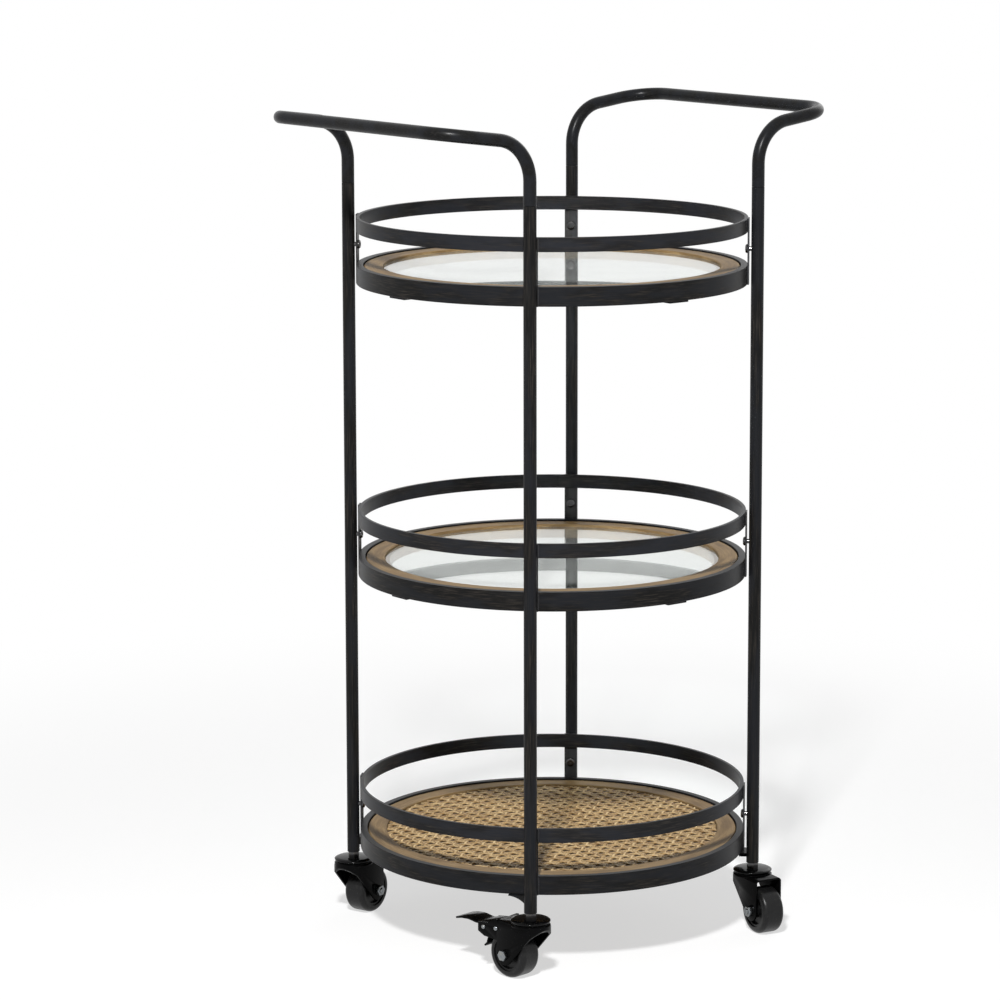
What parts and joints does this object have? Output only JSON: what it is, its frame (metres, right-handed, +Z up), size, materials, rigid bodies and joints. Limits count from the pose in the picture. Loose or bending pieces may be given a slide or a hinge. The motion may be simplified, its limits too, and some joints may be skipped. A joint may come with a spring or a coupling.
{
  "type": "bar cart",
  "caption": "Round bar cart: railed glass and cane shelves between upright tube legs, a U-shaped handle at each side, and swivel casters with foot brakes.",
  "frame": {"origin": "on the floor, under the middle of the cart", "axes": "X from the left handle to the right handle, Y along the grips, Z up"},
  "size_m": [0.5334, 0.416, 0.889],
  "materials": {
    "frame_metal": "satin black powder coat",
    "caster_metal": "gloss black",
    "zinc": "bright zinc plate",
    "tyre": "smooth hard rubber",
    "wheel_core": "moulded black plastic",
    "wood": "satin, fine grain",
    "board": "matt",
    "cane": "natural split cane",
    "glass": "clear, polished edge"
  },
  "bodies": {
    "frame": {"left_handle": "frame_metal", "right_handle": "frame_metal", "handle_spigots": "zinc", "left_front_leg": "frame_metal", "left_rear_leg": "frame_metal", "right_front_leg": "frame_metal", "right_rear_leg": "frame_metal", "top_guard_rail": "frame_metal", "middle_guard_rail": "frame_metal", "bottom_guard_rail": "frame_metal", "top_tray_hoop": "frame_metal", "middle_tray_hoop": "frame_metal", "bottom_tray_hoop": "frame_metal", "top_straps": "frame_metal", "middle_straps": "frame_metal", "bottom_straps": "frame_metal", "strap_screws": "frame_metal", "hoop_gussets": "frame_metal", "top_tray_tabs": "frame_metal", "middle_tray_tabs": "frame_metal", "bottom_tray_tabs": "frame_metal", "wood_screws": "zinc", "top_wood_ring": "wood", "middle_wood_ring": "wood", "bottom_wood_ring": "wood", "top_glass": "glass", "middle_glass": "glass", "backing_board": "board", "cane_panel": "cane", "leg_sockets": "zinc", "caster_stems": "zinc", "upper_races": "caster_metal", "race_balls": "zinc"},
    "left_front_caster": {"left_front_fork": "caster_metal", "left_front_axle_bolt": "zinc", "left_front_axle_nut": "zinc", "left_front_brake_rivets": "zinc"},
    "left_front_wheel": {"left_front_tyre": "tyre", "left_front_wheel_core": "wheel_core"},
    "left_front_brake": {"left_front_brake_pedal": "caster_metal", "left_front_brake_shoe": "caster_metal"},
    "left_rear_caster": {"left_rear_fork": "caster_metal", "left_rear_axle_bolt": "zinc", "left_rear_axle_nut": "zinc"},
    "left_rear_wheel": {"left_rear_tyre": "tyre", "left_rear_wheel_core": "wheel_core"},
    "right_front_caster": {"right_front_fork": "caster_metal", "right_front_axle_bolt": "zinc", "right_front_axle_nut": "zinc"},
    "right_front_wheel": {"right_front_tyre": "tyre", "right_front_wheel_core": "wheel_core"},
    "right_rear_caster": {"right_rear_fork": "caster_metal", "right_rear_axle_bolt": "zinc", "right_rear_axle_nut": "zinc", "right_rear_brake_rivets": "zinc"},
    "right_rear_wheel": {"right_rear_tyre": "tyre", "right_rear_wheel_core": "wheel_core"},
    "right_rear_brake": {"right_rear_brake_pedal": "caster_metal", "right_rear_brake_shoe": "caster_metal"}
  },
  "joints": [
    {"name": "left_front_swivel", "type": "hinge", "parent": "frame", "child": "left_front_caster", "pos_m": [-0.15433, -0.15433, 0.061], "axis": [0, 0, 1], "continuous": true},
    {"name": "left_front_roll", "type": "hinge", "parent": "left_front_caster", "child": "left_front_wheel", "pos_m": [-0.15705, -0.13149, 0.025], "axis": [-0.993, -0.1184, 0], "continuous": true},
    {"name": "left_front_brake_press", "type": "hinge", "parent": "left_front_caster", "child": "left_front_brake", "pos_m": [-0.1606, -0.1017, 0.0495], "axis": [-0.993, -0.1184, 0], "range_deg": [0, 12]},
    {"name": "left_rear_swivel", "type": "hinge", "parent": "frame", "child": "left_rear_caster", "pos_m": [-0.15433, 0.15433, 0.061], "axis": [0, 0, 1], "continuous": true},
    {"name": "left_rear_roll", "type": "hinge", "parent": "left_rear_caster", "child": "left_rear_wheel", "pos_m": [-0.13232, 0.16101, 0.025], "axis": [-0.2907, 0.9568, 0], "continuous": true},
    {"name": "right_front_swivel", "type": "hinge", "parent": "frame", "child": "right_front_caster", "pos_m": [0.15433, -0.15433, 0.061], "axis": [0, 0, 1], "continuous": true},
    {"name": "right_front_roll", "type": "hinge", "parent": "right_front_caster", "child": "right_front_wheel", "pos_m": [0.14994, -0.1769, 0.025], "axis": [0.9816, -0.1908, 0], "continuous": true},
    {"name": "right_rear_swivel", "type": "hinge", "parent": "frame", "child": "right_rear_caster", "pos_m": [0.15433, 0.15433, 0.061], "axis": [0, 0, 1], "continuous": true},
    {"name": "right_rear_roll", "type": "hinge", "parent": "right_rear_caster", "child": "right_rear_wheel", "pos_m": [0.13271, 0.14646, 0.025], "axis": [0.342, -0.9397, 0], "continuous": true},
    {"name": "right_rear_brake_press", "type": "hinge", "parent": "right_rear_caster", "child": "right_rear_brake", "pos_m": [0.10452, 0.1362, 0.0495], "axis": [0.342, -0.9397, 0], "range_deg": [0, 12]}
  ]
}
